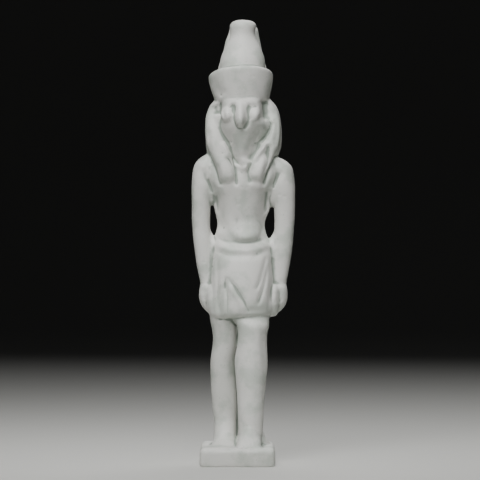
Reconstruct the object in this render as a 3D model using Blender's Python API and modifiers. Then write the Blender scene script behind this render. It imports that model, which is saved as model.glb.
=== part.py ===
"""Faience figurine of a falcon-headed god, striding, in wig, kilt and double crown.

The figurine is moulded in one piece with its plinth and back pillar, so it is one solid.
It stands on Z = 0 with the middle of the plinth's underside at the origin, and faces -Y.
The figure's forms are given in hundredths of its height, measured up from the soles of the feet:
z is up, x is from the body's own upright axis, and y is from the plinth's middle.
"""

import bmesh
import bpy
import numpy as np
from mathutils import Matrix

# Driving dimensions, in metres
FIGURE_HEIGHT = 0.096  # soles of the feet to the top of the crown
PLINTH_WIDTH = 0.0168
PLINTH_DEPTH = 0.0270
PLINTH_HEIGHT = 0.0042
PLINTH_ROUNDING = 0.0011  # worn radius of the plinth's top and upright edges
PILLAR_WIDTH = 0.0080
PILLAR_INSET = 0.0010  # from the plinth's back edge to the pillar's back face
PILLAR_THICKNESS = 0.0050
PILLAR_HEIGHT = 0.0645  # above the plinth's top
ROOT_DEPTH = 0.0012  # how far the figure's forms run down into the plinth

# How finely the solid is made, in metres and triangles
FUSE_GRAIN = 0.00034
BODY_TRIANGLES = 8200
PASSES_BEFORE_CARVING = 4  # of smoothing over the whole skin, before the carving
PASSES_AFTER_CARVING = 2  # of smoothing over the whole skin, after the carving
HALFWAY = 0.5  # how far a pass moves a point towards the mean of its neighbours

GLAZE_COLOR = (0.49, 0.50, 0.485, 1.0)
GLAZE_ROUGHNESS = 0.55

UNIT = FIGURE_HEIGHT / 100
BODY_AXIS = 1.1  # the body leans this far to its left of the plinth's middle
HEAD_TURN = np.radians(-4)  # the head is turned a little to its right
HEAD_PIVOT = (0.0, 4.0)
ARM_SHIFT = 0.13
ARM_GIRTH = {-1: 0.95, 1: 1.06}
SHOULDER_DROP = 0.8
SIDES = (-1, 1)

# Upright forms, as rows of (z, x, y, half width, half depth, squareness)
TORSO = [
    (43, 0, 3.9, 6.5, 5.2, 2.2),
    (46.5, 0, 4.2, 6.6, 4.9, 2.1),
    (48, -0.1, 4.4, 6.4, 4.6, 1.9),
    (49.5, -0.3, 4.5, 6.0, 4.4, 1.75),
    (51.4, -0.3, 4.6, 5.6, 4.3, 1.7),
    (53.2, -0.2, 4.7, 5.85, 4.4, 1.7),
    (55.2, 0, 4.7, 6.5, 4.6, 1.75),
    (58, 0, 4.6, 7.1, 4.9, 1.9),
    (61, 0, 4.5, 8.0, 5.3, 2.2),
    (64, 0, 4.7, 8.6, 5.0, 2.4),
    (66.4, 0, 5.1, 8.4, 4.2, 2.4),
    (68.2, 0, 5.5, 6.8, 3.3, 2.3),
    (70.5, 0, 5.7, 4.5, 3.0, 2.2),
]
BELLY = [
    (47.0, 0.6, 3.9, 1.8, 3.0, 2.0),
    (47.6, 0.6, 3.6, 3.3, 4.2, 2.0),
    (48.3, 0.6, 3.4, 3.9, 4.4, 2.0),
    (49.6, 0.5, 3.4, 4.1, 4.1, 2.1),
    (51.2, 0.4, 3.6, 4.0, 3.7, 2.2),
    (52.8, 0.2, 4.0, 3.8, 3.7, 2.4),
    (55, 0.0, 4.3, 3.8, 4.1, 2.5),
    (58, -0.1, 4.5, 4.0, 4.6, 2.5),
    (60.5, -0.1, 4.6, 3.6, 4.9, 2.4),
]
KILT = [
    (29.8, -0.1, 2.7, 6.2, 5.4, 2.3),
    (30.2, -0.1, 2.6, 7.1, 6.5, 2.3),
    (30.9, -0.1, 2.5, 7.6, 7.1, 2.3),
    (33, 0, 2.5, 7.7, 7.2, 2.2),
    (38, 0, 2.8, 7.5, 6.8, 2.2),
    (42, 0, 3.2, 7.2, 6.2, 2.2),
    (45, 0, 3.7, 6.9, 5.5, 2.2),
    (46.6, 0, 4.0, 6.7, 5.1, 2.2),
    (47.8, -0.1, 4.3, 6.3, 4.5, 2.1),
]
ARM = [
    (68.4, 7.4, 5.5, 0.9, 1.2, 2.0),
    (67.9, 7.8, 5.4, 1.7, 2.0, 2.0),
    (66.9, 8.4, 5.2, 2.4, 2.6, 2.0),
    (65.8, 8.8, 5.1, 2.75, 2.9, 2.1),
    (64, 9.2, 5.0, 2.8, 3.1, 2.1),
    (61, 9.6, 4.9, 2.65, 3.1, 2.2),
    (57, 9.85, 4.9, 2.35, 2.9, 2.3),
    (53, 9.87, 4.8, 2.25, 2.7, 2.3),
    (49.5, 9.7, 4.6, 2.2, 2.6, 2.3),
    (46, 9.35, 4.3, 2.2, 2.55, 2.3),
    (43, 9.0, 4.0, 2.1, 2.4, 2.2),
    (40, 8.7, 3.6, 1.85, 2.1, 2.2),
    (38, 8.45, 3.3, 1.75, 1.95, 2.2),
    (36, 8.3, 3.1, 1.7, 1.9, 2.2),
]
KNUCKLES = [
    (37.6, 8.35, 3.2, 1.75, 2.1, 2.2),
    (36.6, 8.35, 3.0, 2.0, 2.5, 2.3),
    (34.6, 8.3, 3.0, 2.15, 2.7, 2.4),
    (33, 7.9, 3.0, 2.15, 2.6, 2.4),
    (32, 7.5, 3.0, 1.9, 2.3, 2.3),
    (31.2, 7.25, 3.0, 1.4, 1.8, 2.2),
    (30.8, 7.2, 3.0, 0.7, 1.1, 2.0),
]
GRIP = [
    (37.5, 7.3, 1.8, 0.8, 1.6, 2.2),
    (36, 7.3, 1.5, 1.2, 2.1, 2.4),
    (33.5, 7.2, 1.4, 1.35, 2.3, 2.4),
    (31.6, 7.05, 1.6, 1.3, 2.2, 2.4),
    (30.5, 6.9, 1.9, 1.1, 1.8, 2.3),
    (30.0, 6.85, 2.1, 0.7, 1.2, 2.0),
]
ARMPIT = [
    (66, 7.4, 4.6, 1.9, 2.5, 2.4),
    (62, 7.6, 4.7, 2.0, 2.4, 2.4),
    (59, 7.5, 4.9, 1.8, 2.2, 2.3),
    (57.4, 7.4, 5.1, 1.4, 1.9, 2.2),
    (56.3, 7.4, 5.3, 0.7, 1.1, 2.0),
]
HIP_FILL = [
    (50.5, 8.0, 5.0, 0.4, 0.8, 2.0),
    (49.5, 7.9, 4.9, 0.8, 1.2, 2.0),
    (48.5, 7.6, 4.8, 1.1, 1.6, 2.0),
    (47.5, 7.2, 4.7, 1.4, 1.9, 2.1),
    (46.0, 7.1, 4.5, 1.6, 2.2, 2.2),
    (43, 7.2, 4.2, 1.5, 2.2, 2.2),
    (38, 7.2, 3.5, 1.4, 2.2, 2.2),
    (32.5, 7.0, 3.1, 1.3, 2.0, 2.2),
    (31.2, 6.9, 3.1, 0.8, 1.4, 2.0),
]
REAR_LEG = [
    (-1.3, -4.2, 3.2, 2.6, 6.0, 2.3),
    (0.3, -4.2, 3.3, 2.6, 5.8, 2.3),
    (1.6, -4.15, 4.0, 2.6, 4.7, 2.3),
    (3.2, -4.1, 4.6, 2.6, 3.9, 2.3),
    (5.5, -4.05, 4.95, 2.65, 3.4, 2.2),
    (8, -4.15, 5.1, 2.85, 3.4, 2.3),
    (12, -4.35, 5.1, 2.95, 3.9, 2.4),
    (16, -4.6, 5.0, 2.9, 4.2, 2.3),
    (19.5, -4.65, 4.8, 2.85, 4.4, 2.3),
    (23, -4.2, 4.4, 2.8, 4.4, 2.4),
    (26, -4.1, 4.0, 2.9, 4.4, 2.4),
    (29, -4.4, 3.5, 3.1, 4.6, 2.4),
    (33, -4.4, 3.1, 3.4, 4.7, 2.4),
]
FRONT_LEG = [
    (-1.3, 1.8, -5.2, 2.8, 5.4, 2.0),
    (0.3, 1.8, -5.1, 2.8, 5.1, 2.0),
    (1.8, 1.85, -4.7, 2.85, 4.1, 2.0),
    (3.4, 1.95, -4.4, 2.9, 3.5, 2.1),
    (5.2, 1.95, -4.2, 2.95, 3.2, 2.1),
    (8, 2.0, -3.9, 3.05, 3.15, 2.1),
    (12.4, 2.05, -3.1, 3.3, 3.4, 2.0),
    (16.4, 2.05, -2.2, 3.7, 3.9, 2.0),
    (20, 2.1, -1.5, 3.85, 4.1, 2.0),
    (23.5, 2.3, -1.2, 3.5, 3.9, 2.0),
    (26, 2.45, -1.0, 3.4, 3.8, 2.1),
    (28, 2.5, -0.6, 3.8, 4.0, 2.1),
    (29.8, 1.8, 0.6, 4.5, 4.1, 2.2),
    (33, 1.6, 1.2, 4.8, 4.2, 2.3),
]
LEG_WEB = [
    (-1.3, 2.4, 4.2, 4.1, 6.4, 5.0),
    (0.5, 2.3, 4.2, 3.9, 6.4, 5.0),
    (1.8, 2.1, 4.2, 3.2, 6.4, 4.0),
    (3.8, 1.9, 4.2, 2.8, 6.3, 3.0),
    (8, 1.6, 4.2, 2.4, 6.3, 2.3),
    (20, 1.5, 4.7, 2.5, 5.9, 2.2),
    (33, 1.6, 5.2, 2.6, 5.4, 2.2),
]
THROAT = [
    (75, 0.3, 2.4, 5.0, 4.2, 2.0),
    (72, 0.4, 2.5, 5.0, 4.1, 2.0),
    (69.5, 0.5, 2.6, 4.1, 4.0, 1.9),
    (67, 0.5, 2.7, 2.6, 3.9, 1.8),
    (64.8, 0.5, 3.0, 1.4, 3.8, 1.8),
    (61.5, 0.8, 3.3, 1.2, 3.8, 1.9),
]
WIG = [
    (82.6, 0.1, 4.0, 4.8, 4.8, 2.1),
    (81.4, 0.15, 4.2, 6.2, 5.6, 2.1),
    (79.8, 0.2, 4.6, 7.7, 6.0, 2.1),
    (78, 0.25, 4.9, 8.5, 6.1, 2.2),
    (75.5, 0.3, 5.1, 8.9, 6.1, 2.5),
    (72, 0.35, 5.3, 9.0, 5.9, 2.8),
    (69.5, 0.3, 5.7, 8.8, 5.5, 2.8),
    (67.5, 0.15, 6.2, 8.1, 4.9, 2.6),
    (65, 0, 6.9, 6.9, 4.0, 2.4),
    (63.2, 0, 7.3, 6.0, 3.3, 2.4),
]
RIGHT_LAPPET = [
    (80, 6.8, 4.6, 0.8, 1.6, 2.0),
    (78.5, 6.9, 3.9, 1.3, 2.1, 2.1),
    (77, 7.0, 3.3, 1.6, 2.3, 2.2),
    (75.5, 6.9, 2.7, 1.8, 2.4, 2.4),
    (73, 6.6, 2.0, 2.1, 2.5, 2.6),
    (70.5, 5.95, 1.6, 2.4, 2.5, 2.8),
    (68, 5.0, 1.4, 2.4, 2.6, 3.0),
    (65.5, 4.1, 1.1, 2.2, 2.7, 3.0),
    (63.4, 3.5, 1.0, 2.05, 2.7, 3.0),
    (62.2, 3.35, 1.2, 1.95, 2.5, 2.8),
    (61.4, 3.3, 1.7, 1.75, 2.2, 2.6),
    (61.0, 3.3, 2.4, 1.4, 1.6, 2.4),
]
LEFT_LAPPET = [
    (80, 6.9, 4.6, 0.8, 1.6, 2.0),
    (78.5, 7.1, 3.9, 1.3, 2.1, 2.1),
    (77, 7.2, 3.3, 1.6, 2.3, 2.2),
    (75.5, 7.2, 2.7, 1.8, 2.4, 2.4),
    (73, 7.0, 2.0, 1.95, 2.5, 2.6),
    (70.5, 6.6, 1.6, 2.1, 2.5, 2.8),
    (68, 5.4, 1.4, 2.3, 2.6, 3.0),
    (65.5, 4.2, 1.1, 2.2, 2.7, 3.0),
    (63.6, 3.5, 1.0, 2.0, 2.7, 3.0),
    (62.5, 3.3, 1.2, 1.9, 2.5, 2.8),
    (61.7, 3.25, 1.7, 1.7, 2.2, 2.6),
    (61.3, 3.25, 2.4, 1.4, 1.6, 2.4),
]
HEAD = [
    (82.4, 0, 3.2, 4.6, 5.2, 2.4),
    (80.8, 0.15, 2.5, 4.9, 5.4, 2.8),
    (79, 0.2, 1.9, 4.85, 5.4, 2.9),
    (76.8, 0.3, 1.5, 4.95, 5.4, 2.7),
    (75, 0.55, 1.6, 5.5, 5.2, 2.5),
    (73.4, 0.55, 1.9, 5.4, 4.8, 2.4),
    (71.8, 0.45, 2.3, 4.7, 4.5, 2.2),
    (70.2, 0.4, 2.6, 3.8, 4.3, 2.0),
    (68.6, 0.4, 2.8, 2.9, 4.2, 1.9),
    (66.8, 0.4, 3.1, 1.8, 4.0, 1.9),
]
BEAK = [
    (81.8, 0.1, -0.8, 0.7, 1.2, 2.0),
    (80.4, 0.1, -1.6, 1.0, 1.7, 2.0),
    (79, 0.1, -2.3, 1.2, 2.2, 1.9),
    (77.4, 0.1, -3.0, 1.3, 2.5, 1.9),
    (76.1, 0.1, -3.4, 1.2, 2.5, 1.9),
    (75.2, 0.1, -3.7, 0.9, 2.1, 2.0),
    (74.3, 0.1, -3.8, 0.5, 1.2, 2.0),
]
EYE = [
    (79.4, 3.0, -0.9, 0.9, 1.6, 2.0),
    (78.6, 3.0, -1.3, 1.4, 2.3, 2.0),
    (77.5, 3.0, -1.8, 1.65, 2.6, 2.0),
    (76.4, 3.0, -1.9, 1.4, 2.5, 2.0),
    (75.6, 3.0, -1.5, 0.9, 1.9, 2.0),
]
RED_CROWN = [
    (79.9, -0.1, 3.4, 5.2, 5.2, 2.1),
    (80.7, -0.1, 3.4, 6.1, 5.9, 2.1),
    (82.2, -0.15, 3.45, 6.7, 6.3, 2.1),
    (84.4, -0.25, 3.6, 7.35, 6.8, 2.1),
    (86.1, -0.35, 3.7, 7.6, 7.1, 2.1),
    (86.9, -0.35, 3.7, 7.55, 7.0, 2.1),
    (87.2, -0.35, 3.7, 7.1, 6.6, 2.1),
]
RIM_RISE = 0.26  # how much the red crown's rim climbs towards the front, per unit of depth
RIM_TILT = 0.045  # how much it climbs towards the figure's left, per unit of width
HEM_SLOPE = 0.04  # how much the kilt's hem climbs towards the figure's left, per unit of width
CROWN_BACK = [
    (84, -0.1, 7.2, 6.0, 3.4, 2.5),
    (87, 0, 7.6, 5.9, 3.0, 2.6),
    (89.3, 0.05, 7.9, 5.6, 2.7, 2.6),
    (92, 0.05, 8.2, 4.75, 2.4, 2.6),
    (95.3, 0.15, 8.5, 4.1, 2.1, 2.6),
    (96.8, 0.3, 8.6, 3.65, 1.9, 2.6),
    (98.0, 0.35, 8.7, 3.45, 1.6, 2.5),
    (98.7, 0.35, 8.8, 3.0, 1.2, 2.3),
    (99.0, 0.35, 8.8, 1.9, 0.7, 2.0),
]
WHITE_CROWN = [
    (85.5, 0, 3.4, 5.2, 5.2, 2.0),
    (88.5, 0.05, 3.4, 5.4, 5.3, 2.0),
    (90.5, 0.1, 3.6, 5.25, 5.1, 2.0),
    (92, 0.1, 3.8, 4.8, 4.6, 2.0),
    (93.6, 0.1, 4.1, 4.1, 4.0, 2.0),
    (94.7, 0.1, 4.3, 3.55, 3.6, 2.0),
    (95.8, 0.1, 4.5, 3.1, 3.2, 2.0),
    (96.7, 0.1, 4.6, 2.95, 3.0, 2.0),
    (97.5, 0.1, 4.65, 3.0, 3.0, 2.0),
    (98.3, 0.15, 4.7, 3.15, 3.05, 2.0),
    (99.0, 0.2, 4.75, 3.05, 2.9, 2.0),
    (99.5, 0.2, 4.8, 2.6, 2.5, 2.0),
    (99.85, 0.2, 4.8, 1.8, 1.8, 2.0),
    (100, 0.2, 4.8, 0.8, 0.8, 2.0),
]

# Feet, which lie along y, as rows of (y, x, z, half width, half height, squareness)
REAR_FOOT = [
    (9.0, -4.2, 0.4, 1.6, 1.2, 2.2),
    (6.0, -4.2, 0.6, 2.4, 1.9, 2.2),
    (3.0, -4.25, 0.6, 2.55, 1.7, 2.0),
    (0.8, -4.35, 0.4, 2.6, 1.4, 1.9),
    (-1.4, -4.45, 0.1, 2.6, 1.1, 1.9),
    (-3.2, -4.5, -0.1, 2.4, 0.8, 2.0),
    (-4.5, -4.5, -0.3, 1.9, 0.6, 2.1),
    (-5.2, -4.4, -0.3, 1.2, 0.3, 2.2),
]
FRONT_FOOT = [
    (2.0, 1.7, 0.6, 1.6, 1.6, 2.2),
    (-1.0, 1.75, 1.0, 2.4, 2.6, 2.0),
    (-4.5, 1.8, 1.4, 2.6, 3.2, 1.6),
    (-6.5, 1.75, 1.6, 2.7, 3.6, 1.4),
    (-8.0, 1.65, 1.2, 2.8, 3.0, 1.4),
    (-9.5, 1.55, 0.7, 2.9, 2.3, 1.5),
    (-11.0, 1.5, 0.2, 2.8, 1.6, 1.7),
    (-12.2, 1.5, 0.0, 2.3, 1.0, 1.9),
    (-12.9, 1.6, -0.2, 1.3, 0.5, 2.0),
]

# Carving, as (sinking, width, [(x, z), ...]): a line sunk into the front, or raised where negative
CARVING = [
    # the falcon's face: the beak's sides, the eye sockets, the slots behind the eyes, the cheeks
    (0.5, 0.5, [(-2.0, 80.2), (-1.7, 78.2), (-1.55, 76.6), (-1.0, 74.8), (-0.3, 73.8)]),
    (0.5, 0.5, [(1.5, 80.2), (1.5, 78.2), (1.65, 76.4), (1.1, 74.9), (0.2, 73.8)]),
    (0.4, 0.8, [(-2.9, 79.6), (-2.2, 79.0), (-1.9, 77.6)]),
    (0.55, 1.0, [(3.6, 79.4), (2.5, 78.8), (2.3, 77.2), (2.2, 76.0)]),
    (0.7, 0.5, [(-4.95, 80.6), (-4.6, 78.4), (-4.35, 76.8), (-4.4, 75.2)]),
    (0.9, 0.5, [(4.75, 80.6), (4.8, 78.2), (4.9, 75.8)]),
    (0.35, 0.8, [(-4.85, 76.4), (-4.85, 74.2), (-4.4, 72.6), (-3.6, 71.4), (-2.8, 70.4)]),
    (1.3, 1.3, [(5.2, 81.2), (5.8, 79.8), (6.0, 78.2), (5.8, 76.2)]),
    (0.8, 0.45, [
        (5.1, 77.2), (6.2, 76.3), (6.8, 75.2), (6.6, 74.1), (6.1, 73.0), (5.1, 71.7), (4.4, 70.8)]),
    (0.8, 1.1, [(-6.4, 79.8), (-6.0, 78.6), (-5.8, 77.4)]),
    # the throat, whose two planes fall away from the middle
    (0.9, 1.5, [(4.6, 74.8), (3.5, 71.6), (2.3, 68.8), (1.4, 66.4)]),
    (0.3, 1.4, [(-3.4, 74.0), (-2.8, 71.0), (-1.6, 68.4), (-0.4, 66.0)]),
    # the wig: its edges along the throat, the parting of its folds, the ends of its lappets
    (-0.5, 0.55, [(-4.6, 71.2), (-3.6, 69.1), (-1.6, 65.9), (0.3, 64.3)]),
    (-0.65, 0.55, [(5.9, 71.2), (4.2, 68.9), (1.8, 66.0), (0.4, 64.3)]),
    (-0.15, 0.5, [(0.4, 65.0), (0.7, 63.2), (1.1, 60.6)]),
    (0.6, 0.45, [(-3.6, 67.6), (-2.9, 66.4), (-1.95, 64.8), (-1.4, 62.6), (-1.2, 60.6)]),
    (0.45, 0.8, [(5.6, 69.0), (4.0, 66.8), (2.8, 65.2), (1.9, 63.6), (1.7, 61.0)]),
    (0.4, 0.55, [(-6.0, 66.0), (-5.5, 63.9), (-5.3, 62.1), (-4.9, 60.6)]),
    (0.85, 0.7, [(6.1, 70.6), (5.9, 66.8), (5.5, 63.6), (5.1, 60.4)]),
    (0.35, 0.6, [(-7.6, 74.0), (-7.8, 70.5), (-7.5, 66.8)]),
    (0.35, 0.6, [(8.0, 76.8), (8.1, 73.1), (7.8, 69.8)]),
    # the chest: the folds at the armpits, and the soft belly
    (0.55, 0.8, [(-9.2, 65.0), (-8.7, 62.4), (-7.3, 60.7), (-6.2, 59.2), (-5.8, 57.0), (-5.5, 54.0)]),
    (0.65, 0.8, [(9.4, 64.6), (7.9, 62.1), (6.7, 60.7), (5.7, 59.2), (5.4, 57.0), (5.2, 54.0)]),
    (-0.3, 1.4, [(1.6, 60.8), (4.8, 60.8)]),
    (-0.14, 0.8, [
        (-3.0, 53.8), (-2.8, 50.4), (-1.9, 49.1), (0.6, 48.6), (2.9, 49.1), (3.9, 50.4), (4.1, 53.6)]),
    (0.14, 0.7, [(-1.4, 53.8), (-1.3, 51.4), (-0.9, 49.8)]),
    (0.14, 0.7, [(1.3, 53.8), (1.5, 51.6), (1.7, 49.8)]),
    # the kilt: belt, apron, overlapping flap, hanging tab and gathered folds
    (0.26, 0.75, [
        (-7.6, 49.6), (-6.1, 48.8), (-4.7, 48.0), (-3.1, 47.4),
        (0.0, 47.2), (3.0, 47.4), (5.6, 48.4), (7.6, 49.1)]),
    (-0.2, 0.65, [
        (-7.6, 47.8), (-6.1, 47.2), (-4.7, 46.3), (-3.1, 45.8),
        (0.0, 45.7), (3.0, 45.8), (5.6, 46.8), (7.6, 47.4)]),
    (0.32, 0.75, [
        (-7.2, 46.0), (-6.1, 45.5), (-4.7, 44.9), (-3.1, 44.4),
        (0.0, 44.2), (3.0, 44.3), (5.6, 45.4), (7.2, 45.9)]),
    (0.42, 0.5, [(-6.0, 44.6), (-5.8, 39.8), (-5.7, 30.0)]),
    (0.4, 0.55, [(-3.8, 39.4), (-1.7, 36.9), (-0.5, 35.1), (0.5, 33.4), (1.5, 31.0)]),
    (-0.3, 0.5, [(-3.1, 37.6), (-1.9, 35.5), (-0.5, 33.7), (0.7, 31.2)]),
    (0.45, 0.45, [(-3.9, 39.6), (-4.1, 37.2), (-4.8, 34.9), (-5.1, 32.8), (-5.1, 28.6)]),
    (0.4, 0.45, [(-3.9, 38.4), (-3.4, 34.4), (-3.4, 28.6)]),
    (0.4, 0.5, [(5.7, 44.4), (4.9, 41.0), (4.2, 38.4), (3.0, 36.0)]),
    (0.45, 0.5, [(6.2, 42.4), (5.2, 37.9), (4.5, 35.4), (3.5, 32.6)]),
    (0.3, 0.8, [(1.0, 31.4), (3.0, 31.6), (5.8, 31.7)]),
    (0.45, 0.5, [(6.9, 44.0), (6.8, 37.0), (6.0, 30.4)]),
    # the crown: its worn left side
    (0.45, 1.1, [(-7.6, 86.0), (-6.2, 83.8), (-4.6, 81.6)]),
    # the hands: wrists and the folded fingers
    (0.1, 0.6, [(-10.4, 36.1), (-9.0, 36.2), (-7.6, 36.2)]),
    (0.12, 0.6, [(10.6, 37.8), (9.0, 37.8), (7.6, 37.8)]),
    (0.2, 0.5, [(-8.9, 36.4), (-8.7, 34.0), (-7.9, 30.2)]),
    (0.3, 0.5, [(8.6, 36.4), (8.6, 33.5), (8.4, 30.2)]),
]

ARM_FORMS = (ARM, KNUCKLES, GRIP, ARMPIT, HIP_FILL)


def smooth_rows(rows, steps):
    """Cubic curves through the rows: each leaves and meets a row with the slope of its neighbours."""
    keys = np.array(rows, float)
    slopes = np.gradient(keys, axis=0)
    t = np.linspace(0, 1, steps, endpoint=False)[None, :, None]
    start, end = keys[:-1, None], keys[1:, None]
    leave, meet = slopes[:-1, None], slopes[1:, None]
    curve = (
        (2 * t**3 - 3 * t**2 + 1) * start
        + (t**3 - 2 * t**2 + t) * leave
        + (3 * t**2 - 2 * t**3) * end
        + (t**3 - t**2) * meet
    )
    return np.vstack([curve.reshape(-1, keys.shape[1]), keys[-1]])


def loft(rows, steps=6, sides=40, lying=False):
    """A closed form through rows of superellipses, upright or lying along y, in figure units."""
    along, x, across, half_x, half_y, squareness = smooth_rows(rows, steps).T[:, :, None]
    angle = np.linspace(0, 2 * np.pi, sides, endpoint=False)[None]
    power = 2 / squareness
    ring_x = x + half_x * np.sign(np.cos(angle)) * np.abs(np.cos(angle)) ** power
    ring_y = across + half_y * np.sign(np.sin(angle)) * np.abs(np.sin(angle)) ** power
    ring_z = np.broadcast_to(along, ring_x.shape)
    order = (ring_x, ring_z, ring_y) if lying else (ring_x, ring_y, ring_z)
    return np.stack(order, axis=-1)


def mirrored(rings, side):
    return rings * np.array((side, 1, 1))


def arm(rows, side):
    """A form of one arm: the figure's left one is thicker, and hangs from a lower shoulder."""
    keys = np.array(rows, float)
    keys[:, 3] *= ARM_GIRTH[side]
    rings = mirrored(loft(keys), side)
    rings[..., 0] += ARM_SHIFT
    if side > 0:
        rings[..., 2] -= SHOULDER_DROP * np.clip((rings[..., 2] - 52) / 8, 0, 1)
    return rings


def turned_head(rings):
    """Turns a form of the head about its upright pivot."""
    cos, sin = np.cos(HEAD_TURN), np.sin(HEAD_TURN)
    x = rings[..., 0] - HEAD_PIVOT[0]
    y = rings[..., 1] - HEAD_PIVOT[1]
    turned = (HEAD_PIVOT[0] + cos * x - sin * y, HEAD_PIVOT[1] + sin * x + cos * y)
    return np.stack((*turned, rings[..., 2]), axis=-1)


def red_crown():
    """The flared drum, sheared so that its rim climbs towards the front."""
    rings = loft(RED_CROWN)
    low, high = RED_CROWN[1][0], RED_CROWN[-1][0]
    rise = np.clip((rings[..., 2] - low) / (high - low), 0, 1)
    rings[..., 2] += rise * (RIM_RISE * (RED_CROWN[-1][2] - rings[..., 1]) + RIM_TILT * rings[..., 0])
    return rings


def kilt():
    """The kilt, whose hem hangs a little lower on the figure's right."""
    rings = loft(KILT)
    drop = np.clip((38 - rings[..., 2]) / 7, 0, 1)
    rings[..., 2] += HEM_SLOPE * drop * rings[..., 0]
    return rings


def figure_forms():
    """Every form of the figure, as rings in figure units about the body's axis."""
    forms = [loft(rows) for rows in (TORSO, BELLY, REAR_LEG, FRONT_LEG, LEG_WEB, WIG)]
    forms += [loft(THROAT), loft(CROWN_BACK), loft(WHITE_CROWN), red_crown(), kilt()]
    forms += [loft(rows, lying=True) for rows in (REAR_FOOT, FRONT_FOOT)]
    forms += [mirrored(loft(RIGHT_LAPPET), -1), loft(LEFT_LAPPET)]
    forms += [arm(rows, side) for rows in ARM_FORMS for side in SIDES]
    forms += [turned_head(loft(rows)) for rows in (HEAD, BEAK)]
    forms += [turned_head(mirrored(loft(EYE), side)) for side in SIDES]
    return forms


def to_metres(points):
    """Figure units about the body's axis, as metres about the plinth's middle."""
    return (points + np.array((BODY_AXIS, 0, 0))) * UNIT + np.array((0, 0, PLINTH_HEIGHT))


def from_metres(points):
    return (points - np.array((0, 0, PLINTH_HEIGHT))) / UNIT - np.array((BODY_AXIS, 0, 0))


def line_falloff(path, width, x, z):
    """How strongly each point feels a line in the front view: by its distance, fading at the ends."""
    nodes = np.array(path)
    start, along = nodes[:-1], np.diff(nodes, axis=0)
    offset = np.stack((x, z), axis=-1)[:, None] - start
    share = np.clip((offset * along).sum(-1) / (along**2).sum(-1), 0, 1)
    apart = np.linalg.norm(offset - share[..., None] * along, axis=-1)
    nearest = apart.argmin(axis=1)
    row = np.arange(len(x))
    travelled = (nearest + share[row, nearest]) / len(along)
    return np.exp(-((apart[row, nearest] / width) ** 2)) * (1 - abs(2 * travelled - 1) ** 6)


def carve(skin):
    """Presses the carving's lines into the surfaces that face the front."""
    count = len(skin.data.vertices)
    places = np.empty(3 * count, np.float32)
    normals = np.empty(3 * count, np.float32)
    skin.data.vertices.foreach_get("co", places)
    skin.data.vertices.foreach_get("normal", normals)
    places = places.reshape(-1, 3).astype(float)
    x, _, z = from_metres(places).T
    facing = np.clip(-1.6 * normals.reshape(-1, 3)[:, 1] - 0.15, 0, 1)
    for sinking, width, path in CARVING:
        places[:, 1] += sinking * UNIT * facing * line_falloff(path, width, x, z)
    skin.data.vertices.foreach_set("co", places.astype(np.float32).ravel())
    skin.data.update()


def add_rings(mesh, rings):
    """Adds one closed shell: quads between the rings and a cap on each end."""
    count, sides = rings.shape[:2]
    verts = [mesh.verts.new(point) for point in to_metres(rings).reshape(-1, 3)]
    ring = [verts[i * sides : (i + 1) * sides] for i in range(count)]
    faces = [
        mesh.faces.new((low[i], low[i - 1], high[i - 1], high[i]))
        for low, high in zip(ring[:-1], ring[1:])
        for i in range(sides)
    ]
    faces += [mesh.faces.new(ring[0]), mesh.faces.new(ring[-1][::-1])]
    bmesh.ops.recalc_face_normals(mesh, faces=faces)


def add_block(mesh, size, middle):
    bmesh.ops.create_cube(mesh, size=1, matrix=Matrix.LocRotScale(middle, None, size))


def new_object(name, mesh, collection):
    """Turns a bmesh into an object in the collection."""
    data = bpy.data.meshes.new(name)
    mesh.to_mesh(data)
    mesh.free()
    made = bpy.data.objects.new(name, data)
    collection.objects.link(made)
    return made


def as_helper(helper):
    helper.hide_render = True
    helper.display_type = "WIRE"
    return helper


def new_collection(name):
    made = bpy.data.collections.new(name)
    bpy.context.scene.collection.children.link(made)
    return made


def baked(source, name, collection):
    """A new object that holds the source's mesh as its modifiers leave it."""
    graph = bpy.context.evaluated_depsgraph_get()
    data = bpy.data.meshes.new_from_object(source.evaluated_get(graph))
    made = bpy.data.objects.new(name, data)
    collection.objects.link(made)
    return made


def pillar_block(mesh):
    """The back pillar, rooted in the plinth."""
    height = PILLAR_HEIGHT + ROOT_DEPTH
    back = PLINTH_DEPTH / 2 - PILLAR_INSET
    middle = (
        BODY_AXIS * UNIT / 2,
        back - PILLAR_THICKNESS / 2,
        PLINTH_HEIGHT - ROOT_DEPTH + height / 2,
    )
    add_block(mesh, (PILLAR_WIDTH, PILLAR_THICKNESS, height), middle)


def fused_figure(helpers):
    """All the forms and the pillar, joined into one skin by a voxel remesh."""
    mesh = bmesh.new()
    for rings in figure_forms():
        add_rings(mesh, rings)
    pillar_block(mesh)
    forms = as_helper(new_object("figure_forms", mesh, helpers))
    fuse = forms.modifiers.new("fuse", "REMESH")
    fuse.mode = "VOXEL"
    fuse.voxel_size = FUSE_GRAIN
    return baked(forms, "figure_skin", helpers)


def smooth(skin, passes):
    worn = skin.modifiers.new("worn", "SMOOTH")
    worn.factor = HALFWAY
    worn.iterations = passes


def plinth(helpers):
    """The plinth: a block whose top and upright edges are worn round, and whose foot stays sharp."""
    mesh = bmesh.new()
    size = (PLINTH_WIDTH, PLINTH_DEPTH, PLINTH_HEIGHT)
    add_block(mesh, size, (0, 0, PLINTH_HEIGHT / 2))
    worn = [edge for edge in mesh.edges if any(vert.co.z > PLINTH_HEIGHT / 2 for vert in edge.verts)]
    bmesh.ops.bevel(mesh, geom=worn, offset=PLINTH_ROUNDING, segments=3, profile=0.5, affect="EDGES")
    return as_helper(new_object("plinth_block", mesh, helpers))


def glazed_faience():
    material = bpy.data.materials.new("glazed_faience")
    material.use_nodes = True
    shader = material.node_tree.nodes["Principled BSDF"]
    shader.inputs["Base Color"].default_value = GLAZE_COLOR
    shader.inputs["Roughness"].default_value = GLAZE_ROUGHNESS
    shader.inputs["Metallic"].default_value = 0.0
    return material


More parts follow.
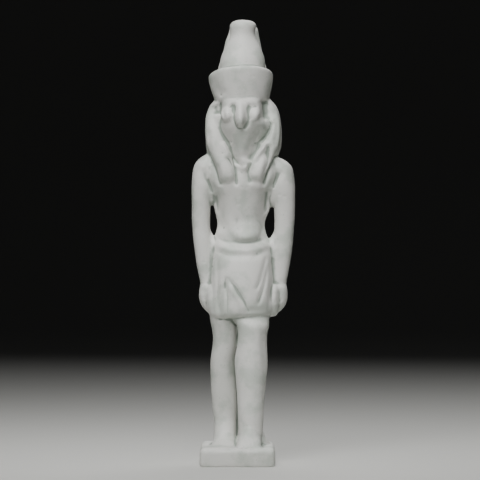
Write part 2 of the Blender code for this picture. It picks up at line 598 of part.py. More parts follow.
def main():
    for old in list(bpy.data.objects):
        bpy.data.objects.remove(old)
    figure = new_collection("faience_figurine")
    helpers = new_collection("forms_and_cutters")

    skin = as_helper(fused_figure(helpers))
    smooth(skin, PASSES_BEFORE_CARVING)
    carved = as_helper(baked(skin, "carved_skin", helpers))
    carve(carved)
    smooth(carved, PASSES_AFTER_CARVING)
    facets = carved.modifiers.new("facets", "DECIMATE")
    facets.ratio = BODY_TRIANGLES / (2 * len(carved.data.polygons))

    figurine = baked(carved, "horus_figurine", figure)
    standing = figurine.modifiers.new("stand_on_plinth", "BOOLEAN")
    standing.operation = "UNION"
    standing.object = plinth(helpers)
    figurine.data.materials.clear()
    figurine.data.materials.append(glazed_faience())
    figurine.data.shade_smooth()


main()
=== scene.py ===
# %% [markdown]
# The object is a small faience figurine of a falcon-headed god, about 100 mm tall.
# Egyptian faience is ground quartz with a little alkali and lime, pressed while damp into an open
# clay mould, touched up with a point, dried and fired. Body, back pillar and plinth are one piece.
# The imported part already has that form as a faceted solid. This script gives it its real skin:
# the same forms on a fine grid, the softer relief, the wear, and the worn matt glaze.
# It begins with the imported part, because every size here follows from it.

import bpy
import numpy as np
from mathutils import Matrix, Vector


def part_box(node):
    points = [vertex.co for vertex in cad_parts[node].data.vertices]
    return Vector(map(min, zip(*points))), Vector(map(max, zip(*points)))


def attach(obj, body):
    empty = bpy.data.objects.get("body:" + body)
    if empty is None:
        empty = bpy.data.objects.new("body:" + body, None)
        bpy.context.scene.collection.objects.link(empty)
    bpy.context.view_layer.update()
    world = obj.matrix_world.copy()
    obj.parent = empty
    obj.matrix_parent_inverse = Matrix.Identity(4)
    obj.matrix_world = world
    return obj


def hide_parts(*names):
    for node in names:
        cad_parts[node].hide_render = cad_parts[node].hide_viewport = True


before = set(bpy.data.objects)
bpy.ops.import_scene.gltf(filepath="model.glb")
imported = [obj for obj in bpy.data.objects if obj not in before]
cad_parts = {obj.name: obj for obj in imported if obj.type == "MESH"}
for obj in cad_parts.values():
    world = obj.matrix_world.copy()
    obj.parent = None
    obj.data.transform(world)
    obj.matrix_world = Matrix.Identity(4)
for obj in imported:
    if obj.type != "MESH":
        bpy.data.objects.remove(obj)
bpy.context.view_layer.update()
NODE = "horus_figurine"
lowest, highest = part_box(NODE)
print("the packed part, in mm:", [round(1000 * (high - low), 1) for low, high in zip(lowest, highest)])

# %% [markdown]
# The real piece was measured in fingers and palms; here a hundredth of the figure's own height does
# that job. Plain metres would hide the proportions, so each form below is given in these units:
# z up from the soles, x from the body's upright axis and y from the plinth's middle, with the
# figure facing -y. The plinth keeps true sizes, since it is a block and no part of the figure.

# %% Sizes
MM = 0.001
PLINTH_WIDTH = 16.8 * MM
PLINTH_HEIGHT = 4.2 * MM
PLINTH_ROUNDING = 1.1 * MM
PLINTH_DEPTH = highest.y - lowest.y
PILLAR_WIDTH = 8.0 * MM
PILLAR_THICKNESS = 5.0 * MM
PILLAR_HEIGHT = 64.5 * MM
PILLAR_INSET = 1.0 * MM
PILLAR_ROUNDING = 0.5 * MM
ROOT_DEPTH = 1.2 * MM
UNIT = (highest.z - PLINTH_HEIGHT) / 100
BODY_AXIS = 1.1
SIDES = (-1, 1)
forms = []
print("figure height, in mm:", round(100 * UNIT / MM, 2))

# %% [markdown]
# Limbs, trunk, crown and wig are all round forms that swell and narrow, as a modeller rolls them.
# They could be sculpted, or grown from a cage with Subdivision Surface. A loft is easier to steer:
# each row gives a height, a middle, a half width, a half depth and how square the section is, and
# the rest of the surface follows from two parameters, the height and the angle round the axis.

# %% Lofts
def smooth_rows(rows, steps):
    """Cubic curves through the rows: each leaves and meets a row with the slope of its neighbours."""
    keys = np.array(rows, float)
    slopes = np.gradient(keys, axis=0)
    t = np.linspace(0, 1, steps, endpoint=False)[None, :, None]
    start, end = keys[:-1, None], keys[1:, None]
    leave, meet = slopes[:-1, None], slopes[1:, None]
    curve = (
        (2 * t**3 - 3 * t**2 + 1) * start
        + (t**3 - 2 * t**2 + t) * leave
        + (3 * t**2 - 2 * t**3) * end
        + (t**3 - t**2) * meet
    )
    return np.vstack([curve.reshape(-1, keys.shape[1]), keys[-1]])


def loft(rows, steps=8, sides=72, lying=False):
    """Rings of superellipses: |x / half width|^n + |y / half depth|^n = 1, one ring to each height."""
    along, x, across, half_x, half_y, squareness = smooth_rows(rows, steps).T[:, :, None]
    angle = np.linspace(0, 2 * np.pi, sides, endpoint=False)[None]
    power = 2 / squareness
    ring_x = x + half_x * np.sign(np.cos(angle)) * np.abs(np.cos(angle)) ** power
    ring_y = across + half_y * np.sign(np.sin(angle)) * np.abs(np.sin(angle)) ** power
    ring_z = np.broadcast_to(along, ring_x.shape)
    order = (ring_x, ring_z, ring_y) if lying else (ring_x, ring_y, ring_z)
    return np.stack(order, axis=-1)


def mirrored(rings, side):
    """x times -1 for the figure's right side, and as it is for its left."""
    return rings * np.array((side, 1, 1))


# %% [markdown]
# The trunk is bare: broad shoulders, a narrow waist, and a soft round belly over the belt, as
# figures of the late period have it. The belly could be carved into the trunk's own section, but a
# second form that swells out of the first keeps both outlines simple.

# %% Trunk and belly
TORSO = [
    (43, 0, 3.9, 6.5, 5.2, 2.2),
    (46.5, 0, 4.2, 6.6, 4.9, 2.1),
    (48, -0.1, 4.4, 6.4, 4.6, 1.9),
    (49.5, -0.3, 4.5, 6.0, 4.4, 1.75),
    (51.4, -0.3, 4.6, 5.6, 4.3, 1.7),
    (53.2, -0.2, 4.7, 5.85, 4.4, 1.7),
    (55.2, 0, 4.7, 6.5, 4.6, 1.75),
    (58, 0, 4.6, 7.1, 4.9, 1.9),
    (61, 0, 4.5, 8.0, 5.3, 2.2),
    (64, 0, 4.7, 8.6, 5.0, 2.4),
    (66.4, 0, 5.1, 8.4, 4.2, 2.4),
    (68.2, 0, 5.5, 6.8, 3.3, 2.3),
    (70.5, 0, 5.7, 4.5, 3.0, 2.2),
]
BELLY = [
    (47.0, 0.6, 3.9, 1.8, 3.0, 2.0),
    (47.6, 0.6, 3.6, 3.3, 4.2, 2.0),
    (48.3, 0.6, 3.4, 3.9, 4.4, 2.0),
    (49.6, 0.5, 3.4, 4.1, 4.1, 2.1),
    (51.2, 0.4, 3.6, 4.0, 3.7, 2.2),
    (52.8, 0.2, 4.0, 3.8, 3.7, 2.4),
    (55, 0.0, 4.3, 3.8, 4.1, 2.5),
    (58, -0.1, 4.5, 4.0, 4.6, 2.5),
    (60.5, -0.1, 4.6, 3.6, 4.9, 2.4),
]
forms += [loft(TORSO), loft(BELLY)]
print("trunk:", forms[0].shape[0], "rings")

# %% [markdown]
# The kilt is short and wrapped, and on the real piece it is one with the thighs. It is one drum of
# rounded section whose hem hangs a little lower on the figure's right; its folds are cut in later.

# %% Kilt
KILT = [
    (29.8, -0.1, 2.7, 6.2, 5.4, 2.3),
    (30.2, -0.1, 2.6, 7.1, 6.5, 2.3),
    (30.9, -0.1, 2.5, 7.6, 7.1, 2.3),
    (33, 0, 2.5, 7.7, 7.2, 2.2),
    (38, 0, 2.8, 7.5, 6.8, 2.2),
    (42, 0, 3.2, 7.2, 6.2, 2.2),
    (45, 0, 3.7, 6.9, 5.5, 2.2),
    (46.6, 0, 4.0, 6.7, 5.1, 2.2),
    (47.8, -0.1, 4.3, 6.3, 4.5, 2.1),
]
HEM_SLOPE = 0.04
LEVEL_ABOVE = 38
SLOPED_REACH = 7


def kilt():
    """A loft whose hem climbs with x: z grows by the slope times x, more and more towards the hem."""
    rings = loft(KILT)
    drop = np.clip((LEVEL_ABOVE - rings[..., 2]) / SLOPED_REACH, 0, 1)
    rings[..., 2] += HEM_SLOPE * drop * rings[..., 0]
    return rings


forms.append(kilt())
print("kilt hem at", KILT[0][0], "units")

# %% [markdown]
# The arms hang straight at the sides with fists closed, joined to the trunk down to the ribs and
# again from the hip, which leaves one slim window at each side of the waist. One arm is described
# and mirrored. The figure's left one is a little thicker and hangs from a lower shoulder.

# %% Arms and hands
ARM = [
    (68.4, 7.4, 5.5, 0.9, 1.2, 2.0),
    (67.9, 7.8, 5.4, 1.7, 2.0, 2.0),
    (66.9, 8.4, 5.2, 2.4, 2.6, 2.0),
    (65.8, 8.8, 5.1, 2.75, 2.9, 2.1),
    (64, 9.2, 5.0, 2.8, 3.1, 2.1),
    (61, 9.6, 4.9, 2.65, 3.1, 2.2),
    (57, 9.85, 4.9, 2.35, 2.9, 2.3),
    (53, 9.87, 4.8, 2.25, 2.7, 2.3),
    (49.5, 9.7, 4.6, 2.2, 2.6, 2.3),
    (46, 9.35, 4.3, 2.2, 2.55, 2.3),
    (43, 9.0, 4.0, 2.1, 2.4, 2.2),
    (40, 8.7, 3.6, 1.85, 2.1, 2.2),
    (38, 8.45, 3.3, 1.75, 1.95, 2.2),
    (36, 8.3, 3.1, 1.7, 1.9, 2.2),
]
KNUCKLES = [
    (37.6, 8.35, 3.2, 1.75, 2.1, 2.2),
    (36.6, 8.35, 3.0, 2.0, 2.5, 2.3),
    (34.6, 8.3, 3.0, 2.15, 2.7, 2.4),
    (33, 7.9, 3.0, 2.15, 2.6, 2.4),
    (32, 7.5, 3.0, 1.9, 2.3, 2.3),
    (31.2, 7.25, 3.0, 1.4, 1.8, 2.2),
    (30.8, 7.2, 3.0, 0.7, 1.1, 2.0),
]
GRIP = [
    (37.5, 7.3, 1.8, 0.8, 1.6, 2.2),
    (36, 7.3, 1.5, 1.2, 2.1, 2.4),
    (33.5, 7.2, 1.4, 1.35, 2.3, 2.4),
    (31.6, 7.05, 1.6, 1.3, 2.2, 2.4),
    (30.5, 6.9, 1.9, 1.1, 1.8, 2.3),
    (30.0, 6.85, 2.1, 0.7, 1.2, 2.0),
]
ARMPIT = [
    (66, 7.4, 4.6, 1.9, 2.5, 2.4),
    (62, 7.6, 4.7, 2.0, 2.4, 2.4),
    (59, 7.5, 4.9, 1.8, 2.2, 2.3),
    (57.4, 7.4, 5.1, 1.4, 1.9, 2.2),
    (56.3, 7.4, 5.3, 0.7, 1.1, 2.0),
]
HIP_FILL = [
    (50.5, 8.0, 5.0, 0.4, 0.8, 2.0),
    (49.5, 7.9, 4.9, 0.8, 1.2, 2.0),
    (48.5, 7.6, 4.8, 1.1, 1.6, 2.0),
    (47.5, 7.2, 4.7, 1.4, 1.9, 2.1),
    (46.0, 7.1, 4.5, 1.6, 2.2, 2.2),
    (43, 7.2, 4.2, 1.5, 2.2, 2.2),
    (38, 7.2, 3.5, 1.4, 2.2, 2.2),
    (32.5, 7.0, 3.1, 1.3, 2.0, 2.2),
    (31.2, 6.9, 3.1, 0.8, 1.4, 2.0),
]
ARM_SHIFT = 0.13
ARM_GIRTH = {-1: 0.95, 1: 1.06}
SHOULDER_DROP = 0.8
ELBOW = 52
UPPER_ARM = 8


def arm(rows, side):
    """Mirrored loft, width times the arm's girth; the left arm alone lowered in proportion above the
    elbow.
    """
    keys = np.array(rows, float)
    keys[:, 3] *= ARM_GIRTH[side]
    rings = mirrored(loft(keys), side)
    rings[..., 0] += ARM_SHIFT
    if side > 0:
        rings[..., 2] -= SHOULDER_DROP * np.clip((rings[..., 2] - ELBOW) / UPPER_ARM, 0, 1)
    return rings


forms += [arm(rows, side) for rows in (ARM, KNUCKLES, GRIP, ARMPIT, HIP_FILL) for side in SIDES]
print("arms and hands:", len(forms), "forms so far")

# %% [markdown]
# The left leg strides ahead. A moulded figure can't have an open gap between its legs, so a web of
# the same paste fills it and runs back to the pillar. The feet lie along y, so their rows run that
# way: the same loft with two of its directions exchanged.

# %% Legs and feet
REAR_LEG = [
    (-1.3, -4.2, 3.2, 2.6, 6.0, 2.3),
    (0.3, -4.2, 3.3, 2.6, 5.8, 2.3),
    (1.6, -4.15, 4.0, 2.6, 4.7, 2.3),
    (3.2, -4.1, 4.6, 2.6, 3.9, 2.3),
    (5.5, -4.05, 4.95, 2.65, 3.4, 2.2),
    (8, -4.15, 5.1, 2.85, 3.4, 2.3),
    (12, -4.35, 5.1, 2.95, 3.9, 2.4),
    (16, -4.6, 5.0, 2.9, 4.2, 2.3),
    (19.5, -4.65, 4.8, 2.85, 4.4, 2.3),
    (23, -4.2, 4.4, 2.8, 4.4, 2.4),
    (26, -4.1, 4.0, 2.9, 4.4, 2.4),
    (29, -4.4, 3.5, 3.1, 4.6, 2.4),
    (33, -4.4, 3.1, 3.4, 4.7, 2.4),
]
FRONT_LEG = [
    (-1.3, 1.8, -5.2, 2.8, 5.4, 2.0),
    (0.3, 1.8, -5.1, 2.8, 5.1, 2.0),
    (1.8, 1.85, -4.7, 2.85, 4.1, 2.0),
    (3.4, 1.95, -4.4, 2.9, 3.5, 2.1),
    (5.2, 1.95, -4.2, 2.95, 3.2, 2.1),
    (8, 2.0, -3.9, 3.05, 3.15, 2.1),
    (12.4, 2.05, -3.1, 3.3, 3.4, 2.0),
    (16.4, 2.05, -2.2, 3.7, 3.9, 2.0),
    (20, 2.1, -1.5, 3.85, 4.1, 2.0),
    (23.5, 2.3, -1.2, 3.5, 3.9, 2.0),
    (26, 2.45, -1.0, 3.4, 3.8, 2.1),
    (28, 2.5, -0.6, 3.8, 4.0, 2.1),
    (29.8, 1.8, 0.6, 4.5, 4.1, 2.2),
    (33, 1.6, 1.2, 4.8, 4.2, 2.3),
]
LEG_WEB = [
    (-1.3, 2.4, 4.2, 4.1, 6.4, 5.0),
    (0.5, 2.3, 4.2, 3.9, 6.4, 5.0),
    (1.8, 2.1, 4.2, 3.2, 6.4, 4.0),
    (3.8, 1.9, 4.2, 2.8, 6.3, 3.0),
    (8, 1.6, 4.2, 2.4, 6.3, 2.3),
    (20, 1.5, 4.7, 2.5, 5.9, 2.2),
    (33, 1.6, 5.2, 2.6, 5.4, 2.2),
]
REAR_FOOT = [
    (9.0, -4.2, 0.4, 1.6, 1.2, 2.2),
    (6.0, -4.2, 0.6, 2.4, 1.9, 2.2),
    (3.0, -4.25, 0.6, 2.55, 1.7, 2.0),
    (0.8, -4.35, 0.4, 2.6, 1.4, 1.9),
    (-1.4, -4.45, 0.1, 2.6, 1.1, 1.9),
    (-3.2, -4.5, -0.1, 2.4, 0.8, 2.0),
    (-4.5, -4.5, -0.3, 1.9, 0.6, 2.1),
    (-5.2, -4.4, -0.3, 1.2, 0.3, 2.2),
]
FRONT_FOOT = [
    (2.0, 1.7, 0.6, 1.6, 1.6, 2.2),
    (-1.0, 1.75, 1.0, 2.4, 2.6, 2.0),
    (-4.5, 1.8, 1.4, 2.6, 3.2, 1.6),
    (-6.5, 1.75, 1.6, 2.7, 3.6, 1.4),
    (-8.0, 1.65, 1.2, 2.8, 3.0, 1.4),
    (-9.5, 1.55, 0.7, 2.9, 2.3, 1.5),
    (-11.0, 1.5, 0.2, 2.8, 1.6, 1.7),
    (-12.2, 1.5, 0.0, 2.3, 1.0, 1.9),
    (-12.9, 1.6, -0.2, 1.3, 0.5, 2.0),
]
forms += [loft(rows) for rows in (REAR_LEG, FRONT_LEG, LEG_WEB)]
forms += [loft(rows, lying=True) for rows in (REAR_FOOT, FRONT_FOOT)]
stride = REAR_FOOT[-1][0] - FRONT_FOOT[-1][0]
print("stride, in mm:", round(stride * UNIT / MM, 1))

# %% [markdown]
# The wig is a heavy cap that falls behind the shoulders and in two lappets over the chest. The
# lappets differ a little on the real piece, so each has rows of its own.

# %% Wig
WIG = [
    (82.6, 0.1, 4.0, 4.8, 4.8, 2.1),
    (81.4, 0.15, 4.2, 6.2, 5.6, 2.1),
    (79.8, 0.2, 4.6, 7.7, 6.0, 2.1),
    (78, 0.25, 4.9, 8.5, 6.1, 2.2),
    (75.5, 0.3, 5.1, 8.9, 6.1, 2.5),
    (72, 0.35, 5.3, 9.0, 5.9, 2.8),
    (69.5, 0.3, 5.7, 8.8, 5.5, 2.8),
    (67.5, 0.15, 6.2, 8.1, 4.9, 2.6),
    (65, 0, 6.9, 6.9, 4.0, 2.4),
    (63.2, 0, 7.3, 6.0, 3.3, 2.4),
]
THROAT = [
    (75, 0.3, 2.4, 5.0, 4.2, 2.0),
    (72, 0.4, 2.5, 5.0, 4.1, 2.0),
    (69.5, 0.5, 2.6, 4.1, 4.0, 1.9),
    (67, 0.5, 2.7, 2.6, 3.9, 1.8),
    (64.8, 0.5, 3.0, 1.4, 3.8, 1.8),
    (61.5, 0.8, 3.3, 1.2, 3.8, 1.9),
]
RIGHT_LAPPET = [
    (80, 6.8, 4.6, 0.8, 1.6, 2.0),
    (78.5, 6.9, 3.9, 1.3, 2.1, 2.1),
    (77, 7.0, 3.3, 1.6, 2.3, 2.2),
    (75.5, 6.9, 2.7, 1.8, 2.4, 2.4),
    (73, 6.6, 2.0, 2.1, 2.5, 2.6),
    (70.5, 5.95, 1.6, 2.4, 2.5, 2.8),
    (68, 5.0, 1.4, 2.4, 2.6, 3.0),
    (65.5, 4.1, 1.1, 2.2, 2.7, 3.0),
    (63.4, 3.5, 1.0, 2.05, 2.7, 3.0),
    (62.2, 3.35, 1.2, 1.95, 2.5, 2.8),
    (61.4, 3.3, 1.7, 1.75, 2.2, 2.6),
    (61.0, 3.3, 2.4, 1.4, 1.6, 2.4),
]
LEFT_LAPPET = [
    (80, 6.9, 4.6, 0.8, 1.6, 2.0),
    (78.5, 7.1, 3.9, 1.3, 2.1, 2.1),
    (77, 7.2, 3.3, 1.6, 2.3, 2.2),
    (75.5, 7.2, 2.7, 1.8, 2.4, 2.4),
    (73, 7.0, 2.0, 1.95, 2.5, 2.6),
    (70.5, 6.6, 1.6, 2.1, 2.5, 2.8),
    (68, 5.4, 1.4, 2.3, 2.6, 3.0),
    (65.5, 4.2, 1.1, 2.2, 2.7, 3.0),
    (63.6, 3.5, 1.0, 2.0, 2.7, 3.0),
    (62.5, 3.3, 1.2, 1.9, 2.5, 2.8),
    (61.7, 3.25, 1.7, 1.7, 2.2, 2.6),
    (61.3, 3.25, 2.4, 1.4, 1.6, 2.4),
]
forms += [loft(WIG), loft(THROAT), mirrored(loft(RIGHT_LAPPET), -1), loft(LEFT_LAPPET)]
print("lappets end at", RIGHT_LAPPET[-1][0], "and", LEFT_LAPPET[-1][0], "units")

# %% [markdown]
# The falcon's face is broad and flat with a short hooked beak and two low mounds for the eyes. It is
# turned a few degrees to the figure's right, so it is built straight and then turned as a whole.

# %% Falcon head
HEAD = [
    (82.4, 0, 3.2, 4.6, 5.2, 2.4),
    (80.8, 0.15, 2.5, 4.9, 5.4, 2.8),
    (79, 0.2, 1.9, 4.85, 5.4, 2.9),
    (76.8, 0.3, 1.5, 4.95, 5.4, 2.7),
    (75, 0.55, 1.6, 5.5, 5.2, 2.5),
    (73.4, 0.55, 1.9, 5.4, 4.8, 2.4),
    (71.8, 0.45, 2.3, 4.7, 4.5, 2.2),
    (70.2, 0.4, 2.6, 3.8, 4.3, 2.0),
    (68.6, 0.4, 2.8, 2.9, 4.2, 1.9),
    (66.8, 0.4, 3.1, 1.8, 4.0, 1.9),
]
BEAK = [
    (81.8, 0.1, -0.8, 0.7, 1.2, 2.0),
    (80.4, 0.1, -1.6, 1.0, 1.7, 2.0),
    (79, 0.1, -2.3, 1.2, 2.2, 1.9),
    (77.4, 0.1, -3.0, 1.3, 2.5, 1.9),
    (76.1, 0.1, -3.4, 1.2, 2.5, 1.9),
    (75.2, 0.1, -3.7, 0.9, 2.1, 2.0),
    (74.3, 0.1, -3.8, 0.5, 1.2, 2.0),
]
EYE = [
    (79.4, 3.0, -0.9, 0.9, 1.6, 2.0),
    (78.6, 3.0, -1.3, 1.4, 2.3, 2.0),
    (77.5, 3.0, -1.8, 1.65, 2.6, 2.0),
    (76.4, 3.0, -1.9, 1.4, 2.5, 2.0),
    (75.6, 3.0, -1.5, 0.9, 1.9, 2.0),
]
HEAD_TURN = np.radians(-4)
HEAD_PIVOT = (0.0, 4.0)


def turned_head(rings):
    """Each point turned about the neck: x' = cos x - sin y and y' = sin x + cos y, from the pivot."""
    cos, sin = np.cos(HEAD_TURN), np.sin(HEAD_TURN)
    x = rings[..., 0] - HEAD_PIVOT[0]
    y = rings[..., 1] - HEAD_PIVOT[1]
    turned = (HEAD_PIVOT[0] + cos * x - sin * y, HEAD_PIVOT[1] + sin * x + cos * y)
    return np.stack((*turned, rings[..., 2]), axis=-1)


forms += [turned_head(loft(rows)) for rows in (HEAD, BEAK)]
forms += [turned_head(mirrored(loft(EYE), side)) for side in SIDES]
print("head turned by", round(float(np.degrees(HEAD_TURN)), 1), "degrees")

# %% [markdown]
# The double crown is the white crown of the south standing in the red crown of the north. The red
# one is a flared drum whose rim climbs to the front and to one side, so its loft is sheared. The
# tall plate behind is the red crown's back, broken off level with the white crown's knob.

# %% Double crown
RED_CROWN = [
    (79.9, -0.1, 3.4, 5.2, 5.2, 2.1),
    (80.7, -0.1, 3.4, 6.1, 5.9, 2.1),
    (82.2, -0.15, 3.45, 6.7, 6.3, 2.1),
    (84.4, -0.25, 3.6, 7.35, 6.8, 2.1),
    (86.1, -0.35, 3.7, 7.6, 7.1, 2.1),
    (86.9, -0.35, 3.7, 7.55, 7.0, 2.1),
    (87.2, -0.35, 3.7, 7.1, 6.6, 2.1),
]
CROWN_BACK = [
    (84, -0.1, 7.2, 6.0, 3.4, 2.5),
    (87, 0, 7.6, 5.9, 3.0, 2.6),
    (89.3, 0.05, 7.9, 5.6, 2.7, 2.6),
    (92, 0.05, 8.2, 4.75, 2.4, 2.6),
    (95.3, 0.15, 8.5, 4.1, 2.1, 2.6),
    (96.8, 0.3, 8.6, 3.65, 1.9, 2.6),
    (98.0, 0.35, 8.7, 3.45, 1.6, 2.5),
    (98.7, 0.35, 8.8, 3.0, 1.2, 2.3),
    (99.0, 0.35, 8.8, 1.9, 0.7, 2.0),
]
WHITE_CROWN = [
    (85.5, 0, 3.4, 5.2, 5.2, 2.0),
    (88.5, 0.05, 3.4, 5.4, 5.3, 2.0),
    (90.5, 0.1, 3.6, 5.25, 5.1, 2.0),
    (92, 0.1, 3.8, 4.8, 4.6, 2.0),
    (93.6, 0.1, 4.1, 4.1, 4.0, 2.0),
    (94.7, 0.1, 4.3, 3.55, 3.6, 2.0),
    (95.8, 0.1, 4.5, 3.1, 3.2, 2.0),
    (96.7, 0.1, 4.6, 2.95, 3.0, 2.0),
    (97.5, 0.1, 4.65, 3.0, 3.0, 2.0),
    (98.3, 0.15, 4.7, 3.15, 3.05, 2.0),
    (99.0, 0.2, 4.75, 3.05, 2.9, 2.0),
    (99.5, 0.2, 4.8, 2.6, 2.5, 2.0),
    (99.85, 0.2, 4.8, 1.8, 1.8, 2.0),
    (100, 0.2, 4.8, 0.8, 0.8, 2.0),
]
RIM_RISE = 0.26
RIM_TILT = 0.045


def red_crown():
    """A loft with z raised by the rim's slopes in y and x, growing from nothing at the forehead."""
    rings = loft(RED_CROWN)
    low, high = RED_CROWN[1][0], RED_CROWN[-1][0]
    rise = np.clip((rings[..., 2] - low) / (high - low), 0, 1)
    rings[..., 2] += rise * (RIM_RISE * (RED_CROWN[-1][2] - rings[..., 1]) + RIM_TILT * rings[..., 0])
    return rings


forms += [red_crown(), loft(CROWN_BACK), loft(WHITE_CROWN)]
print("crown:", len(forms), "forms in all")

# %% [markdown]
# Pillar and plinth are plain blocks. A cube with Bevel would do, but as a path carried up a profile
# they join the other forms with no change of method: the path is a rectangle with round corners,
# and near the top the profile draws it in along a quarter circle.

# %% Pillar and plinth
def rounded_block(width, depth, bottom, top, rounding, corner_sides=10):
    """A rectangle of four quarter circles, drawn in by r - sqrt(r^2 - h^2) at h into the rounding."""
    turn = np.linspace(0, np.pi / 2, corner_sides)
    angle = (turn[None] + np.arange(4)[:, None] * np.pi / 2).ravel()
    corner = np.repeat([(1, 1), (-1, 1), (-1, -1), (1, -1)], corner_sides, axis=0)
    rise = rounding * np.sin(turn)
    inset = np.concatenate(([0.0], rounding - np.sqrt(rounding**2 - rise**2)))[:, None]
    heights = np.concatenate(([bottom], top - rounding + rise))[:, None]
    reach = rounding - inset
    x = corner[:, 0] * (width / 2 - rounding) + reach * np.cos(angle)
    y = corner[:, 1] * (depth / 2 - rounding) + reach * np.sin(angle)
    return np.stack((x, y, np.broadcast_to(heights, x.shape)), axis=-1)


plinth = rounded_block(PLINTH_WIDTH, PLINTH_DEPTH, 0, PLINTH_HEIGHT, PLINTH_ROUNDING)
pillar_ends = (PLINTH_HEIGHT - ROOT_DEPTH, PLINTH_HEIGHT + PILLAR_HEIGHT)
pillar = rounded_block(PILLAR_WIDTH, PILLAR_THICKNESS, *pillar_ends, PILLAR_ROUNDING)
pillar += np.array((BODY_AXIS * UNIT / 2, PLINTH_DEPTH / 2 - PILLAR_INSET - PILLAR_THICKNESS / 2, 0))
print("plinth, in mm:", round(PLINTH_WIDTH / MM, 1), round(PLINTH_DEPTH / MM, 1))

# %% [markdown]
# In the mould all these forms are one mass. Booleans between thirty rounded forms would be slow and
# leave sharp seams, while a voxel remesh wraps them in one even skin, which the next steps can push
# in and out freely. Its grain is finer than the render can show, and is thinned again at the end.

# %% One skin
GRAIN = 0.19 * MM


def to_metres(points):
    """Figure units about the body's axis, as metres about the plinth's middle."""
    return (points + np.array((BODY_AXIS, 0, 0))) * UNIT + np.array((0, 0, PLINTH_HEIGHT))


def from_metres(points):
    """The same backwards: metres about the plinth's middle, as figure units."""
    return (points - np.array((0, 0, PLINTH_HEIGHT))) / UNIT - np.array((BODY_AXIS, 0, 0))


def shell_faces(rings, first):
    """Each wall takes two neighbours on a ring and the two above them; a face closes either end."""
    count, sides = rings.shape[:2]
    index = first + np.arange(count * sides).reshape(count, sides)
    turned = np.roll(index, -1, axis=1)
    walls = np.stack((index[:-1], turned[:-1], turned[1:], index[1:]), axis=-1).reshape(-1, 4)
    return [*walls.tolist(), index[0, ::-1].tolist(), index[-1].tolist()]


def evaluated_mesh(source):
    """The object's mesh as its modifiers leave it."""
    graph = bpy.context.evaluated_depsgraph_get()
    return bpy.data.meshes.new_from_object(source.evaluated_get(graph))


def fused_mesh(shells, grain):
    """All the shells in one mesh, remeshed into a single skin."""
    corners = [rings.reshape(-1, 3) for rings in shells]
    firsts = np.cumsum([0] + [len(block) for block in corners])
    faces = [face for rings, first in zip(shells, firsts) for face in shell_faces(rings, int(first))]
    mesh = bpy.data.meshes.new("forms")
    mesh.from_pydata(np.concatenate(corners).tolist(), [], faces)
    helper = bpy.data.objects.new("forms", mesh)
    bpy.context.scene.collection.objects.link(helper)
    fuse = helper.modifiers.new("fuse", "REMESH")
    fuse.mode = "VOXEL"
    fuse.voxel_size = grain
    skin = evaluated_mesh(helper)
    bpy.data.objects.remove(helper)
    return skin


skin = fused_mesh([to_metres(rings) for rings in forms] + [plinth, pillar], GRAIN)
print("one skin of", len(skin.vertices), "points")

# %% [markdown]
# Damp paste takes no sharp inner corners, and the finished figurine was rubbed smooth. Blender's
# Smooth modifier could do this, but the same step in arrays also serves to find hollows later:
# each point moves halfway to the mean of its neighbours, again and again.

# %% Rounding
HALFWAY = 0.5


def edge_ends(mesh):
    """The points at both ends of every edge, as two rows of indices."""
    ends = np.empty(2 * len(mesh.edges), np.int32)
    mesh.edges.foreach_get("vertices", ends)
    return ends.reshape(-1, 2).T


def relaxed(values, ends, passes):
    """Each value moves halfway to the mean of its neighbours, as often as there are passes."""
    start, end = ends
    count = len(values)
    neighbours = np.bincount(start, minlength=count) + np.bincount(end, minlength=count)
    for _ in range(passes):
        total = np.stack(
            [
                np.bincount(start, column[end], count) + np.bincount(end, column[start], count)
                for column in values.T
            ],
            axis=1,
        )
        values = (1 - HALFWAY) * values + HALFWAY * total / neighbours[:, None]
    return values


def places_of(mesh):
    """x, y and z of every point, one point to a row."""
    places = np.empty(3 * len(mesh.vertices), np.float32)
    mesh.vertices.foreach_get("co", places)
    return places.reshape(-1, 3).astype(float)


def normals_of(mesh):
    """The direction straight out of the skin at every point."""
    normals = np.empty(3 * len(mesh.vertices), np.float32)
    mesh.vertices.foreach_get("normal", normals)
    return normals.reshape(-1, 3).astype(float)


def put_places(mesh, places):
    """Moves every point to its row's place."""
    mesh.vertices.foreach_set("co", places.astype(np.float32).ravel())
    mesh.update()


ROUNDING_PASSES = 12
CARVING_PASSES = 6
ends = edge_ends(skin)
put_places(skin, relaxed(places_of(skin), ends, ROUNDING_PASSES))
print("rounded", ROUNDING_PASSES, "times")

# %% [markdown]
# The carving was drawn into the mould, or into the damp figure, with a blunt point: lines around the
# beak and under the cheeks, the edges of the wig, the belt and the folds of the kilt. Each is a path
# in the front view. A skin point moves back by the line's depth times a bell curve of its distance
# from the path, and the line fades out at both ends, as the stroke of a point does.

